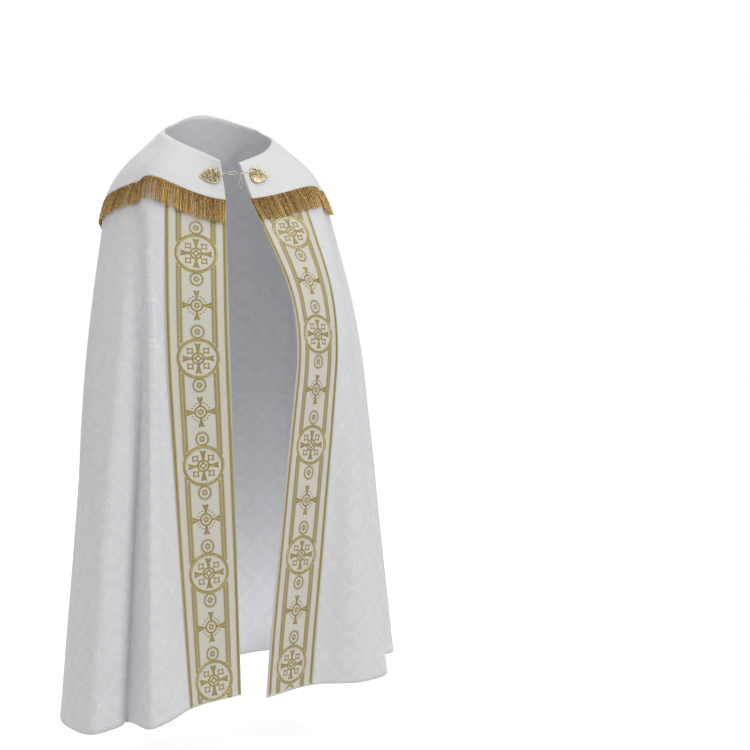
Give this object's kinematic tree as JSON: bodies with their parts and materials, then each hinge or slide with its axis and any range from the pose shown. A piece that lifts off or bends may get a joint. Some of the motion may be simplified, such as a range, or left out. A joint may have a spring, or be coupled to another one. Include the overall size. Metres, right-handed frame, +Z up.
{
  "type": "worn liturgical cope with a fringed hood, orphreys and a chain clasp",
  "caption": "Full-length open-fronted cope hanging as worn, with a shield-shaped fringed hood, ornamented front bands and a leaf clasp with a chain.",
  "frame": {"origin": "centre of the neck opening, level with the wearer's shoulders", "axes": "+Z up, the wearer faces -Y and their left side is at +X"},
  "size_m": [0.907, 0.6234, 1.3655],
  "materials": {
    "damask": "white tone-on-tone satin damask",
    "band_satin": "cream white satin with gold embroidery",
    "hood_cloth": "smooth matt off-white cloth with gold embroidery",
    "fringe_thread": "twisted old-gold metallic thread",
    "clasp_metal": "pale gold, stamped and polished"
  },
  "bodies": {
    "cope": {"body": "damask", "orphrey_right": "band_satin", "orphrey_left": "band_satin", "hood": "hood_cloth", "fringe": "fringe_thread", "clasp_plate_right": "clasp_metal", "clasp_plate_left": "clasp_metal", "clasp_hook": "clasp_metal", "chain_link_1": "clasp_metal", "chain_link_2": "clasp_metal", "chain_link_3": "clasp_metal"},
    "tail_upper": {"tail_link_1": "clasp_metal"},
    "tail_lower": {"tail_link_2": "clasp_metal"}
  },
  "joints": [
    {"name": "tail_upper_swing", "type": "hinge", "parent": "cope", "child": "tail_upper", "pos_m": [-0.01832, -0.12486, -0.09112], "axis": [0.9998, 0.0188, 0.0074], "range_deg": [-50, 0]},
    {"name": "tail_lower_swing", "type": "hinge", "parent": "tail_upper", "child": "tail_lower", "pos_m": [-0.01832, -0.12486, -0.10697], "axis": [0.0188, -0.9998, 0], "range_deg": [-35, 6]}
  ]
}
